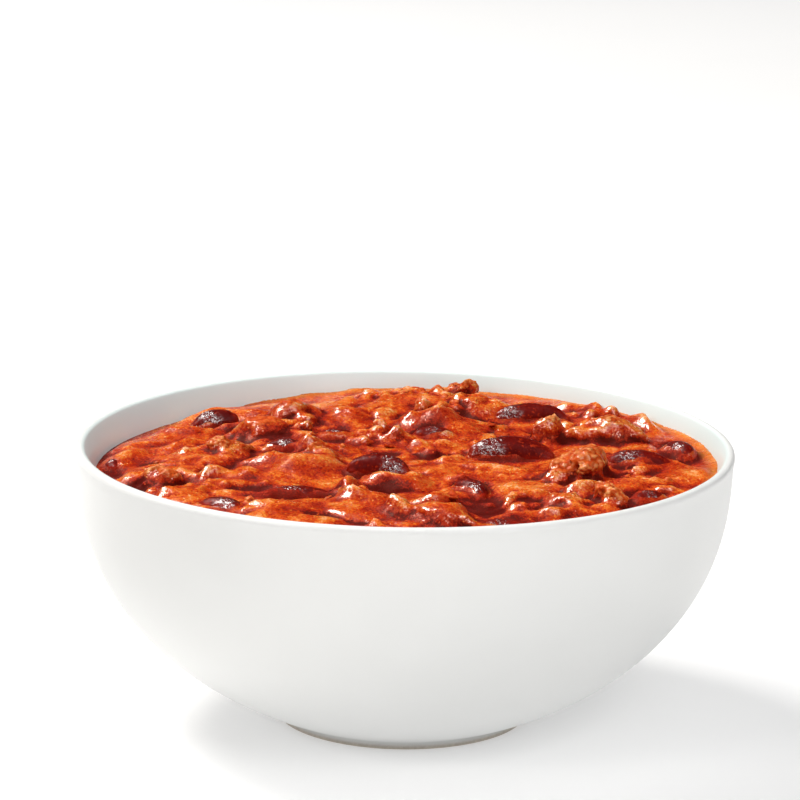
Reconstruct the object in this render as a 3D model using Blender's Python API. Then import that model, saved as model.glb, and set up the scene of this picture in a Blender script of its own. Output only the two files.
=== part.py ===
"""Chili con carne in a round white bowl.

The bowl is one turned piece of glazed porcelain with a low foot ring. The
stew inside it is one solid that fills the bowl up to a few millimetres
under the rim, with a lumpy top. Kidney beans and the larger chunks of meat
and tomato are solids of their own, each in a pocket of the stew.

Sizes are in millimetres and become metres when the meshes are made.
The origin is the centre of the foot ring's underside, and +Z is up.
"""

import math

import bmesh
import bpy
import numpy as np
from mathutils import Vector, noise

MM = 0.001
GAP = 0.35                      # clearance between touching pieces

# ---- Bowl: driving dimensions --------------------------------------------

BOWL_RADIUS = 75.0              # outside, at the lip
BOWL_HEIGHT = 64.1
LIP_THICKNESS = 2.4
LIP_BEAD = 0.1                  # how far the lip stands out from the wall
FOOT_RADIUS = 29.1
FOOT_HEIGHT = 1.8
FOOT_RING_WIDTH = 3.2
RECESS_DEPTH = 1.6              # of the underside inside the foot ring
FLOOR_HEIGHT = 6.0              # inside, at the centre
INNER_RADIUS = 70.9             # inside, just below the thin lip
BOWL_SEGMENTS = 48

# The outer wall is the curve r = R (1 - t^m)^(1/n), with t falling from 1 at
# a virtual bottom point below the foot to 0 at the rim. The inner wall is
# the same kind of curve above the floor, fuller, so that the wall is about
# 4 mm thick and grows a little towards the foot.
OUTER_CURVE = {"radius": 74.85, "bottom": -4.1, "n": 1.7135, "m": 2.44}
INNER_CURVE = {"radius": INNER_RADIUS, "bottom": FLOOR_HEIGHT, "n": 2.9, "m": 1.95}

# ---- Stew: driving dimensions --------------------------------------------

FILL_DEPTH = 4.65               # of the stew's edge below the rim
STEW_LEVEL = BOWL_HEIGHT - FILL_DEPTH
MOUND = 0.4                     # rise of the stew towards the middle
SAG = 2.4                       # the stew's edge lies lower on the left side
SAG_ANGLE = math.radians(165.0)
SAG_HALF_WIDTH = math.radians(75.0)
HEAP_STEP = 5.2                 # grid of the lumpy top
POCKET_SWELL = 0.46             # a pocket is this much wider than its piece

# Sauce-covered lumps on the stew's top: centre x, y, half length, half
# width, height above the stew and the turn of the long axis in degrees.
LUMPS = [
    (-50, -6, 15, 9, 3.0, 12),
    (-30, 18, 9, 6, 2.6, -20),
    (-58, 20, 9, 7, 2.2, 35),
    (-33, 50, 15, 8, 2.4, 10),
    (-12, 46, 16, 9, 3.0, -8),
    (2, 50, 14, 10, 5.0, 15),
    (18, 46, 11, 8, 5.0, -15),
    (13, 31, 10, 8, 2.8, 20),
    (-22, -9, 9, 6, 2.4, 25),
    (-2, -24, 10, 5, 3.0, -6),
    (-9, -43, 8, 10, 2.8, 10),
    (8, -12, 13, 7, 1.6, -10),
    (27, -27, 10, 8, 2.0, 20),
    (27, -48, 10, 7, 1.8, 15),
    (47, 40, 13, 7, 2.6, -20),
    (62, -9, 7, 12, 1.4, 10),
    (52, -21, 9, 6, 1.6, 30),
    (-50, -30, 9, 6, 1.8, -40),
    (-24, -52, 12, 7, 1.4, -15),
    (38, 54, 14, 5, 1.6, -30),
]

# Kidney beans: centre x, y, length, width, how far the top stands above the
# stew's level there, turn of the long axis and its dip in degrees.
BEANS = [
    (24.5, 2.5, 20.5, 11.0, 5.0, -4, 3),
    (-6.0, -13.0, 15.0, 10.0, 4.4, -10, 4),
    (-45.5, 36.0, 12.5, 8.5, 4.2, 18, -14),
    (-24.0, -32.0, 20.0, 8.5, 1.8, -2, 0),
    (-39.5, -43.0, 15.0, 9.0, 2.0, -36, 3),
    (30.5, 40.0, 18.5, 9.0, 4.2, -7, 2),
    (63.0, 9.0, 10.5, 7.5, 3.2, -62, 4),
    (53.5, -3.0, 16.0, 10.0, 3.8, -6, 3),
    (14.5, -28.5, 11.5, 8.0, 2.8, -58, 8),
    (20.5, -55.0, 15.0, 8.5, 1.2, 8, 0),
    (6.5, 22.5, 10.0, 8.0, 2.6, 6, 0),
    (-16.5, 18.5, 12.5, 8.0, 2.4, 10, -4),
    (-27.5, 7.0, 10.5, 8.0, 3.0, -12, 8),
    (54.0, -32.5, 9.0, 7.5, 2.4, 30, 0),
    (-65.6, 1.0, 9.0, 6.5, 1.8, 86, 0),
]
BEAN_THICKNESS = 0.86           # of the width
BEAN_BOW = 0.13                 # of the length: how far the middle bows out
BEAN_SIDES = 8
BEAN_RINGS = 7

# Chunks of meat: centre x, y, length, width, height of the body, how far the
# top stands above the stew's level, and the turn of the long axis in degrees.
MEAT = [
    (39.5, -12.5, 20.0, 13.0, 13.0, 7.8, 72),
    (45.0, -36.5, 10.0, 8.0, 9.0, 4.8, -35),
    (34.5, -38.5, 9.0, 7.0, 7.0, 3.2, 15),
    (13.6, 63.0, 8.0, 7.5, 9.0, 4.7, 30),
    (47.5, 23.0, 20.0, 12.5, 12.0, 6.4, -12),
    (33.5, 22.5, 8.5, 8.0, 9.5, 5.8, 0),
    (-55.0, -19.5, 10.5, 9.0, 9.0, 4.4, 10),
    (-42.0, 4.5, 18.0, 12.0, 11.0, 5.2, 20),
    (-19.5, -1.5, 8.5, 7.0, 9.0, 4.4, 40),
]
MEAT_ROUGHNESS = 0.17           # of a chunk's size

# Pieces of tomato: the same values, with flatter, more angular bodies.
TOMATO = [
    (-27.5, 38.5, 13.0, 10.0, 8.0, 5.4, 20),
    (8.0, -51.5, 13.5, 10.5, 7.5, 4.0, -4),
    (-33.5, 21.0, 14.5, 9.5, 8.0, 4.8, 8),
]
TOMATO_ROUGHNESS = 0.08

BEAN_SKIN = (0.085, 0.008, 0.006)
SAUCE_RED = (0.46, 0.062, 0.012)
MEAT_BROWN = (0.36, 0.085, 0.028)
TOMATO_RED = (0.55, 0.10, 0.02)
PORCELAIN_WHITE = (0.83, 0.82, 0.79)


# ---- Helpers -------------------------------------------------------------

def clear_scene():
    for old in list(bpy.data.objects):
        bpy.data.objects.remove(old, do_unlink=True)


def make_material(name, color, roughness, coat=0.0):
    material = bpy.data.materials.new(name)
    material.use_nodes = True
    shader = material.node_tree.nodes["Principled BSDF"]
    shader.inputs["Base Color"].default_value = (*color, 1.0)
    shader.inputs["Roughness"].default_value = roughness
    shader.inputs["Coat Weight"].default_value = coat
    material.diffuse_color = (*color, 1.0)
    return material


def add_object(name, bm, material):
    """Make an object from a bmesh in millimetres, shaded smooth."""
    bmesh.ops.scale(bm, vec=(MM, MM, MM), verts=bm.verts)
    bmesh.ops.recalc_face_normals(bm, faces=bm.faces)
    mesh = bpy.data.meshes.new(name)
    bm.to_mesh(mesh)
    bm.free()
    mesh.materials.append(material)
    mesh.shade_smooth()
    mesh.set_sharp_from_angle(angle=math.radians(50))
    obj = bpy.data.objects.new(name, mesh)
    bpy.context.scene.collection.objects.link(obj)
    return obj


def hide_as_cutter(obj):
    obj.hide_render = True
    obj.display_type = "WIRE"


def add_boolean(obj, cutter, operation):
    modifier = obj.modifiers.new(operation.title() + " " + cutter.name, "BOOLEAN")
    modifier.operation = operation
    modifier.solver = "EXACT"
    modifier.object = cutter


def smoothstep(low, high, value):
    t = min(1.0, max(0.0, (value - low) / (high - low)))
    return t * t * (3.0 - 2.0 * t)


def turned_solid(profile):
    """Spin a profile of (radius, height), whose ends lie on the axis."""
    bm = bmesh.new()
    verts = [bm.verts.new((r, 0.0, z)) for r, z in profile]
    edges = [bm.edges.new(pair) for pair in zip(verts, verts[1:])]
    bmesh.ops.spin(
        bm,
        geom=verts + edges,
        cent=(0.0, 0.0, 0.0),
        axis=(0.0, 0.0, 1.0),
        angle=2.0 * math.pi,
        steps=BOWL_SEGMENTS,
    )
    bmesh.ops.remove_doubles(bm, verts=bm.verts, dist=0.001)
    return bm


# ---- Bowl ----------------------------------------------------------------

def curve_radius(curve, z):
    t = (BOWL_HEIGHT - z) / (BOWL_HEIGHT - curve["bottom"])
    t = min(1.0, max(0.0, t))
    return curve["radius"] * (1.0 - t ** curve["m"]) ** (1.0 / curve["n"])


def curve_points(curve, low, high, count):
    """Points up a wall, closer together near the bottom, where it bends."""
    points = []
    for i in range(count):
        z = low + (high - low) * (i / (count - 1)) ** 1.6
        points.append((curve_radius(curve, z), z))
    return points


def bowl_profile():
    """From the middle of the underside, out and up, and back in to the floor."""
    ring_inner = FOOT_RADIUS - FOOT_RING_WIDTH
    foot = [
        (0.0, RECESS_DEPTH),
        (ring_inner - 1.6, RECESS_DEPTH),
        (ring_inner, 0.0),
        (FOOT_RADIUS - 0.6, 0.0),
        (FOOT_RADIUS, 0.6),
        (FOOT_RADIUS + 0.1, FOOT_HEIGHT),
    ]
    outer = curve_points(OUTER_CURVE, FOOT_HEIGHT + 0.6, BOWL_HEIGHT - 4.0, 8)

    lip_r = LIP_THICKNESS / 2.0
    lip_x = BOWL_RADIUS + LIP_BEAD - lip_r
    lip_z = BOWL_HEIGHT - lip_r
    lip = []
    for degrees in (-35, 15, 65, 115, 165):
        angle = math.radians(degrees)
        lip.append((lip_x + lip_r * math.cos(angle), lip_z + lip_r * math.sin(angle)))

    inner = curve_points(INNER_CURVE, FLOOR_HEIGHT + 0.25, STEW_LEVEL, 8)
    inner.reverse()
    return foot + outer + lip + inner + [(0.0, FLOOR_HEIGHT)]


def make_bowl(material):
    return add_object("bowl", turned_solid(bowl_profile()), material)


# ---- Stew ----------------------------------------------------------------

def stew_level(x, y):
    """Height of the stew without its lumps: a low mound that sags on the left."""
    radius = math.hypot(x, y)
    mound = MOUND * (1.0 - min(1.0, radius / INNER_RADIUS) ** 2)
    turn = math.atan2(y, x) - SAG_ANGLE
    turn = abs(math.atan2(math.sin(turn), math.cos(turn)))
    around = 1.0 - smoothstep(0.25 * SAG_HALF_WIDTH, SAG_HALF_WIDTH, turn)
    outward = smoothstep(0.45 * INNER_RADIUS, INNER_RADIUS, radius)
    return STEW_LEVEL + mound - SAG * around * outward


def lump_height(x, y):
    """Height of the lumps over the level, the highest one counting most."""
    total = 0.0
    for cx, cy, half_length, half_width, height, degrees in LUMPS:
        turn = math.radians(degrees)
        along = (x - cx) * math.cos(turn) + (y - cy) * math.sin(turn)
        across = (y - cy) * math.cos(turn) - (x - cx) * math.sin(turn)
        reach = (along / half_length) ** 2 + (across / half_width) ** 2
        if reach < 1.0:
            total += (height * (1.0 - reach) ** 0.75) ** 3
    return total ** (1.0 / 3.0)


def stew_surface(x, y):
    edge = smoothstep(0.98 * INNER_RADIUS, 0.80 * INNER_RADIUS, math.hypot(x, y))
    return stew_level(x, y) + edge * lump_height(x, y)


def make_heap():
    """A block whose top is the stew's lumpy surface, wider than the bowl."""
    bm = bmesh.new()
    steps = int(math.ceil(INNER_RADIUS / HEAP_STEP)) + 1
    bmesh.ops.create_grid(
        bm,
        x_segments=2 * steps,
        y_segments=2 * steps,
        size=steps * HEAP_STEP,
    )
    for vert in bm.verts:
        vert.co.z = stew_surface(vert.co.x, vert.co.y)
    border = [edge for edge in bm.edges if edge.is_boundary]
    skirt = bmesh.ops.extrude_edge_only(bm, edges=border)["geom"]
    bottom_edges = []
    for item in skirt:
        if isinstance(item, bmesh.types.BMVert):
            item.co.z = 0.0
    for item in skirt:
        if isinstance(item, bmesh.types.BMEdge) and item.is_boundary:
            bottom_edges.append(item)
    bmesh.ops.contextual_create(bm, geom=bottom_edges)
    return bm


def stew_body_profile():
    """The room inside the bowl, less the gap to its wall, up past the rim."""
    points = [(0.0, FLOOR_HEIGHT + GAP)]
    wall = curve_points(INNER_CURVE, FLOOR_HEIGHT + 0.25, STEW_LEVEL, 8)
    for below, here, above in zip([(0.0, FLOOR_HEIGHT)] + wall, wall, wall[1:]):
        along = Vector((above[0] - below[0], above[1] - below[1])).normalized()
        points.append((here[0] - GAP * along.y, here[1] + GAP * along.x))
    top_radius = curve_radius(INNER_CURVE, STEW_LEVEL) - GAP
    points.append((top_radius, STEW_LEVEL))
    points.append((top_radius, BOWL_HEIGHT + 10.0))
    points.append((0.0, BOWL_HEIGHT + 10.0))
    return points


def make_stew(sauce, cutters):
    stew = add_object("chili", turned_solid(stew_body_profile()), sauce)
    heap = add_object("cutter_heap", make_heap(), sauce)
    hide_as_cutter(heap)
    add_boolean(stew, heap, "INTERSECT")
    for cutter in cutters:
        hide_as_cutter(cutter)
        add_boolean(stew, cutter, "DIFFERENCE")
    return stew


# ---- Beans, meat and tomato ----------------------------------------------

def bean_bmesh(length, width):
    """A kidney bean: blunt ends, a bowed middle and an oval section."""
    bm = bmesh.new()
    thickness = width * BEAN_THICKNESS
    rings = []
    for i in range(1, BEAN_RINGS):
        angle = math.pi * i / BEAN_RINGS
        x = -0.5 * length * math.cos(angle)
        swell = math.sin(angle) ** 0.8
        bow = BEAN_BOW * length * (math.sin(angle) ** 2 - 0.6)
        ring = []
        for j in range(BEAN_SIDES):
            side = 2.0 * math.pi * j / BEAN_SIDES
            y = 0.5 * width * 0.92 * swell * math.cos(side) + bow
            z = 0.5 * thickness * swell * math.sin(side)
            ring.append(bm.verts.new((x, y, z)))
        rings.append(ring)
    for lower, upper in zip(rings, rings[1:]):
        for j in range(BEAN_SIDES):
            k = (j + 1) % BEAN_SIDES
            bm.faces.new((lower[j], lower[k], upper[k], upper[j]))
    end_y = -0.6 * BEAN_BOW * length
    for ring, x in ((rings[0], -0.5 * length), (rings[-1], 0.5 * length)):
        tip = bm.verts.new((x, end_y, 0.0))
        for j in range(BEAN_SIDES):
            bm.faces.new((ring[j], ring[(j + 1) % BEAN_SIDES], tip))
    return bm


def chunk_bmesh(length, width, height, roughness, seed):
    """An irregular lump: a ball of 80 faces, pushed in and out by noise."""
    bm = bmesh.new()
    bmesh.ops.create_icosphere(bm, subdivisions=2, radius=0.5)
    for vert in bm.verts:
        place = vert.co * 3.4 + Vector((7.3 * seed, 1.7 * seed, 3.1))
        vert.co *= 1.0 + 2.0 * roughness * noise.noise(place)
        vert.co = Vector((vert.co.x * length, vert.co.y * width, vert.co.z * height))
    return bm


def swell(bm, distance):
    """Move every corner outwards, which makes the pocket for a piece."""
    bm.normal_update()
    moves = [(vert, vert.normal.copy()) for vert in bm.verts]
    for vert, normal in moves:
        vert.co += distance * normal


def lay(obj, x, y, z, turn, dip):
    obj.location = Vector((x, y, z)) * MM
    obj.rotation_euler = (0.0, math.radians(dip), math.radians(turn))


def make_piece(name, build, material, place):
    """Build one piece and the pocket cutter that fits around it."""
    piece = add_object(name, build(), material)
    pocket = build()
    bmesh.ops.recalc_face_normals(pocket, faces=pocket.faces)
    swell(pocket, POCKET_SWELL)
    cutter = add_object("cutter_" + name, pocket, material)
    lay(piece, *place)
    lay(cutter, *place)
    return cutter


def make_beans(skin):
    cutters = []
    for i, (x, y, length, width, proud, turn, dip) in enumerate(BEANS, start=1):
        z = stew_level(x, y) + proud - 0.5 * width * BEAN_THICKNESS
        cutters.append(make_piece(
            f"bean_{i:02d}",
            lambda: bean_bmesh(length, width),
            skin,
            (x, y, z, turn, dip),
        ))
    return cutters


def make_chunks(prefix, rows, roughness, seed, material):
    cutters = []
    for i, (x, y, length, width, height, proud, turn) in enumerate(rows, start=1):
        z = stew_level(x, y) + proud - 0.5 * height
        cutters.append(make_piece(
            f"{prefix}_{i:02d}",
            lambda: chunk_bmesh(length, width, height, roughness, seed + i),
            material,
            (x, y, z, turn, 0.0),
        ))
    return cutters


def main():
    clear_scene()
    porcelain = make_material("porcelain", PORCELAIN_WHITE, 0.12, coat=0.6)
    sauce = make_material("sauce", SAUCE_RED, 0.28, coat=0.3)
    skin = make_material("bean_skin", BEAN_SKIN, 0.2, coat=0.5)
    meat = make_material("meat", MEAT_BROWN, 0.4)
    tomato = make_material("tomato", TOMATO_RED, 0.3)

    make_bowl(porcelain)
    cutters = make_beans(skin)
    cutters += make_chunks("meat", MEAT, MEAT_ROUGHNESS, 10, meat)
    cutters += make_chunks("tomato", TOMATO, TOMATO_ROUGHNESS, 40, tomato)
    make_stew(sauce, cutters)


main()
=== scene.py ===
"""Looks of a bowl of chili con carne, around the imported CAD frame.

The food is modelled as distance fields on a grid, in millimetres: the sauce
is a level that melts into lumps, crumbs, beans and chunks, and its surface is
taken off the grid as one closed mesh. Beans, meat, tomato and mince are
closed meshes of their own, which stand out of the sauce.
"""

import copy
import itertools
import math

import bmesh
import bpy
import numpy as np
from mathutils import Matrix, Quaternion, Vector


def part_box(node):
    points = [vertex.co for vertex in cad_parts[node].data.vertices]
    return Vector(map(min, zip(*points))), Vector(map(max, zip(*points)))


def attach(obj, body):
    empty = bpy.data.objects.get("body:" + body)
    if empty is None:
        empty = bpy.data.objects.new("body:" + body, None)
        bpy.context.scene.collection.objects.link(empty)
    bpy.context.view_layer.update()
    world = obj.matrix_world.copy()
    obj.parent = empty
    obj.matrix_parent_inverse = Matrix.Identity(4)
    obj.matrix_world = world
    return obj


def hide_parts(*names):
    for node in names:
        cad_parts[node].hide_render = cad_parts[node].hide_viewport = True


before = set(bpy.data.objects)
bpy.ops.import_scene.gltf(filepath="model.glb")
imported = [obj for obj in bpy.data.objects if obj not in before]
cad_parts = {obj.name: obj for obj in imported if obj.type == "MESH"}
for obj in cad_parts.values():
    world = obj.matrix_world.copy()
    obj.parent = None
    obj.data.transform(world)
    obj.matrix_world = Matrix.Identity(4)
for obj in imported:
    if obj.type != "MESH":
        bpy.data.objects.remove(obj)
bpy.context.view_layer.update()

MM = 0.001

# ---- Sizes, in millimetres ----

BOWL_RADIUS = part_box("bowl")[1].x / MM
BOWL_HEIGHT = 64.05
LIP_THICKNESS = 2.4
FOOT_RADIUS = 29.0
FOOT_HEIGHT = 1.8
FOOT_RING_WIDTH = 3.2
RECESS_DEPTH = 1.6
FLOOR_HEIGHT = 6.0
OUTER_CURVE = {"radius": 74.75, "bottom": -4.1, "n": 1.7135, "m": 2.44}
STEW_RADIUS = 70.9
INNER_CURVE = {"radius": STEW_RADIUS, "bottom": FLOOR_HEIGHT, "n": 2.9, "m": 1.95}
FLARE = 1.92                # how much wider the inside gets between the next two heights
FLARE_START = 57.0
FLARE_TOP = 63.45
BOWL_SEGMENTS = 224

STEW_LEVEL = 59.45
DOME = 0.4                  # how much higher the stew stands in the middle
SAG = 2.4                   # how much lower it stands on one side, about SAG_ANGLE
SAG_ANGLE = math.radians(165.0)
SAG_HALF_WIDTH = math.radians(75.0)

SAUCE_STEP = 0.60      # grid of the sauce
CHUNK_STEP = 0.36      # grid of a meat or tomato chunk

# Sauce-covered lumps: centre x, y, half length, half width, height above the
# stew's level and the turn of the long axis in degrees.
LUMPS = [
    (-50, -6, 15, 9, 3, 12), (-30, 18, 9, 6, 2.6, -20), (-58, 20, 9, 7, 2.2, 35),
    (-33, 50, 15, 8, 2.4, 10), (-12, 46, 16, 9, 3, -8), (2, 50, 14, 10, 5, 15), (18, 46, 11, 8, 5, -15),
    (13, 31, 10, 8, 2.8, 20), (-22, -9, 9, 6, 2.4, 25), (-2, -24, 10, 5, 3, -6),
    (-9, -43, 8, 10, 2.8, 10), (8, -12, 13, 7, 1.6, -10), (27, -27, 10, 8, 2, 20),
    (27, -48, 10, 7, 1.8, 15), (47, 40, 13, 7, 2.6, -20), (62, -9, 7, 12, 1.4, 10),
    (52, -21, 9, 6, 1.6, 30), (-50, -30, 9, 6, 1.8, -40), (-24, -52, 12, 7, 1.4, -15),
    (38, 54, 14, 5, 1.6, -30),
]

# Mince crumbs lie in loose groups: centre x, y, spread, how many, and the
# usual size. A few more are scattered over the whole stew.
CRUMB_GROUPS = [
    (-8, 54, 6, 12, 3.2), (3, 57, 6, 14, 3.4), (6, 42, 7, 18, 3), (16, 48, 5, 10, 3.4),
    (-21, 24, 5, 16, 2), (-9, 20, 5, 14, 2.2), (6, 12, 6, 14, 1.8), (14, 10, 4, 8, 1.6),
    (54, -11, 7, 14, 2), (-55, -19, 6, 12, 2.8), (-42, 3, 9, 18, 2.2), (-18, -3, 4, 8, 2.4),
    (-14, -36, 4, 8, 2.6), (1, -44, 4, 8, 2.4), (24, -40, 5, 10, 2.2), (36, -38, 5, 10, 2.2),
    (47, 38, 8, 12, 2.6), (-45, -24, 6, 10, 1.8), (-30, -45, 8, 10, 1.8), (58, -22, 6, 8, 2),
]
LOOSE_CRUMBS = 40
CRUMB_REACH = 67.0          # how far out the loose ones lie
BARE_CRUMBS = 0.4           # share of the crumbs that the sauce leaves bare
SKINS = 14                  # thin curled skins
SKIN_REACH = 48.0           # how far from the middle they lie
FLAKE_SIDES = 16
FLAKE_RINGS = ((0.4, -0.06), (0.75, -0.06), (1.0, -0.03), (1.0, 0.03), (0.75, 0.06), (0.4, 0.06))
SWELLS = 30                 # bits that only swell the sauce a little
SWELL_REACH = 68.0
EXTRA_LUMPS = 8             # small lumps under the sauce, at random places
EXTRA_REACH = 65.0          # how far out their middles lie
FOOD_REACH = 68.5           # how far out their sides may reach
LUMP_FORMS = 8              # shapes that those lumps and the beads share
BEAN_GRID = ((84, 56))     # faces along and around a bean
MOUND_SWELL = 1.45          # how much wider than a hidden piece its mound of sauce is
MOUND_RISE = 1.25           # how much higher than its piece a mound may stand
MOUND_EDGE = 8.0            # how crisp a mound's ridges are
MOUND_FOOT = 1.3            # how crisp its foot is, per millimetre
BEAD_SIZE = 2.5             # hidden pieces shorter than this show as beads

# Pieces that the sauce hides: centre x, y, half length, half width, how far
# they stand over the stew's level, and the turn of the long axis in degrees.
HIDDEN_PIECES = [
    (-64, 4, 4.6, 3.4, 2.6, 70), (-62, 13, 4.4, 3.6, 2.4, 50), (-54, 24, 5.2, 3.6, 3.6, 8),
    (-47, 47, 5.4, 3, 2.6, 30), (-48, 24, 2.8, 2, 2.2, 20), (-39, 31, 3.6, 2.8, 3.2, 10),
    (-52, 11, 6, 3.8, 2.4, 20), (-51, 2, 5.2, 3.2, 2.6, 25), (-55, -7, 4.2, 2.8, 2.6, 5),
    (-61, -13, 3.6, 2.8, 1.8, -20), (-49, -14, 3.4, 2.2, 2.6, -25), (-43, -16, 3, 2.4, 3.2, 30),
    (-41, -22, 2.6, 1.6, 1.3, 5), (-36, -15, 2.8, 2, 1.9, -5), (-31, -5, 4.2, 2.8, 2.6, 15),
    (-24, -9, 7.4, 4.2, 3, 12), (-21, 5, 3, 2.6, 4.4, 0), (-52, -31, 2.4, 1.9, 2.2, 10),
    (-30, 31, 3, 2.4, 2.4, 0), (-24, 26, 2.2, 1.9, 3, 0), (-23, 33, 2, 1.8, 2.8, 40),
    (-22, 40, 1.9, 1.7, 2.6, 0), (-23, 18, 2.1, 1.8, 2.4, 0), (-16, 40, 5.6, 4.4, 2.8, 20),
    (-14, 52, 4.4, 3.2, 2.6, -15), (-36, 46, 5, 3, 2.2, 10), (-9, 60, 2.6, 2.1, 2.8, 0),
    (-6, 57, 2.2, 1.9, 2.4, 30), (-3, 60, 2.6, 2.3, 3.2, 0), (1, 65, 2.8, 2.2, 2.2, 10),
    (4, 60, 2.4, 2.2, 3.2, 0), (8, 62, 2.6, 2.2, 3, -20), (0, 55, 2.8, 2.3, 2.9, 0),
    (9, 56, 3.2, 2.6, 3.6, 10), (15, 50, 4.6, 3.4, 4.8, -10), (19, 55, 3.2, 2.6, 2.8, -30),
    (12, 42, 1.6, 1.5, 3.6, 0), (6.5, 34, 5.2, 4.6, 5.2, 0), (1, 33, 2.1, 2, 3.6, 0),
    (3, 40, 2.9, 2.4, 4.3, 20), (9, 41, 2.5, 2.1, 4.1, 0), (-8, 22, 2.6, 2, 2.8, 20),
    (-6, 28, 2.1, 1.7, 2.8, 0), (-10, 15, 2.4, 1.7, 1.9, -10), (-3, 20, 2.7, 2.1, 2.9, 0),
    (3, 11, 2.3, 1.8, 2.1, 0), (6, 5, 2.1, 1.7, 1.7, 30), (9, 13, 2.1, 1.8, 1.7, 0),
    (-5, -23, 5.2, 3.4, 4, -5), (2, -20, 2.5, 1.9, 2.8, 0), (-12, -30, 2.8, 2.6, 3.6, 70),
    (-12, -39, 3.2, 3, 4.4, 60), (-6, -40, 5.2, 4.4, 2.4, 10), (-1, -47, 3, 2.8, 4.4, 0),
    (7, -38, 3.6, 2.1, 3, 5), (24, -36, 2.6, 2.2, 2.8, 0), (28, -32, 2.7, 2.1, 3, 20),
    (25, -43, 2.2, 2, 2.4, 0), (24, -50, 3.2, 1.8, 1.8, 10), (12, -19, 2.4, 1.8, 2, -20),
    (46, 47, 3.6, 2.6, 3.6, -20), (39, 51, 2.8, 2, 2.2, 0), (56, 36, 3.8, 2.8, 3.6, -40),
    (53, -9, 2, 1.5, 1.8, 0), (57, -6, 2.8, 1.5, 2, 10), (61, -3, 1.9, 1.4, 1.7, 0),
    (49, -17, 2.8, 1.9, 1.8, -10), (65, -10, 3.6, 2.4, 1.5, 80), (41, -27, 4.4, 2.8, 3, -10),
    (32, -47, 2.4, 1.9, 2.4, 0), (38, -45, 3.4, 2.2, 2.2, 15), (43, -42, 2.6, 2, 2, 30),
    (58, -24, 2.2, 1.5, 1.6, 10), (24, -10, 5.4, 2.8, 1.8, 8), (30, -15, 2.8, 1.7, 1.8, 0),
    (16, -9, 3.6, 1.9, 1.5, -15), (9, -3, 2.8, 1.9, 1.5, 0), (7, -12, 3.2, 2, 1.3, 10),
    (16, -19, 3.2, 2, 1.4, 0), (-36, -24, 3.4, 2.2, 1.3, 5), (-46, -26, 3, 2, 1.7, -30),
    (-20, -40, 4, 2.4, 1.7, 5), (-28, -46, 4.4, 2.4, 1.6, -12),
]

# Hollows in the sauce, where it is painted darker as shade: centre x, y, half
# length, half width and turn.
SHADED_HOLLOWS = [
    (-28, 14, 4.5, 12, 10), (-17, 24, 5, 8, -15), (5, 25, 4, 4, 0), (46, 28, 8, 3, -10),
    (56, 3, 12, 7, 5), (49, -15, 3, 5, 0), (50, -31, 8, 5, 20), (15, -24, 4, 7, 10),
    (17, -41, 5, 9, 10), (25, -53, 8, 3.5, 0), (-61, -22, 4, 4, 0), (-66, -6, 3, 7, 10),
    (-58, -3, 3, 3, 0), (-4, -28, 5, 4, 0), (8, 4, 6, 4, 20), (27, -40, 4, 5, 0), (-18, -50, 4, 2, 0),
    (-33, -27, 5, 2.5, 0), (-24, -32, 11, 4.5, -5), (31, 31, 4, 3, 0), (62, 18, 4, 5, 0),
    (-40, 29, 3, 5, 0), (2, 47, 3, 4, 0), (14, 60, 3, 4, 0), (-4, 5, 5, 2.5, 0),
]


# ---- Small maths ----

def clamp(value):
    return np.clip(value, 0.0, 1.0)


def smoothstep(low, high, value):
    t = clamp((value - low) / (high - low))
    return t * t * (3.0 - 2.0 * t)


def melt(a, b, reach):
    """The nearer of two surfaces, blended where they come within reach."""
    h = clamp(0.5 + 0.5 * (b - a) / reach)
    return b + (a - b) * h - reach * h * (1.0 - h)


def soft_highest(heights, sharpness):
    """The highest of some surfaces, melted into one another."""
    total = sum(np.exp(np.clip(sharpness * height, -40.0, 40.0)) for height in heights)
    return np.log(total) / sharpness


def lattice(i, j, k, seed):
    """A repeatable random number from -1 to 1 for each whole-number corner."""
    n = i * 374761393 + j * 668265263 + k * 974634777 + seed * 1442695041
    n = (n ^ (n >> 13)) * 1274126177
    n = n ^ (n >> 16)
    return (n & 0xFFFF) / 32767.5 - 1.0


def noise(x, y, z, size, seed):
    """Smooth noise from -1 to 1 with bumps of about the given size."""
    x, y, z = np.broadcast_arrays(x / size, y / size, z / size)
    fx, fy, fz = np.floor(x), np.floor(y), np.floor(z)
    i, j, k = fx.astype(np.int64), fy.astype(np.int64), fz.astype(np.int64)
    u, v, w = (t * t * (3.0 - 2.0 * t) for t in (x - fx, y - fy, z - fz))
    total = 0.0
    for a, b, c in itertools.product((0, 1), repeat=3):
        weight = (u if a else 1.0 - u) * (v if b else 1.0 - v) * (w if c else 1.0 - w)
        total = total + weight * lattice(i + a, j + b, k + c, seed)
    return total


def rough_noise(x, y, z, size, seed, octaves=3):
    """Noise with finer noise on it, about -1 to 1."""
    total = 0.0
    for octave in range(octaves):
        share = 0.55 ** octave
        total = total + share * noise(x, y, z, size * 0.5 ** octave, seed + 17 * octave)
    return total


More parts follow.
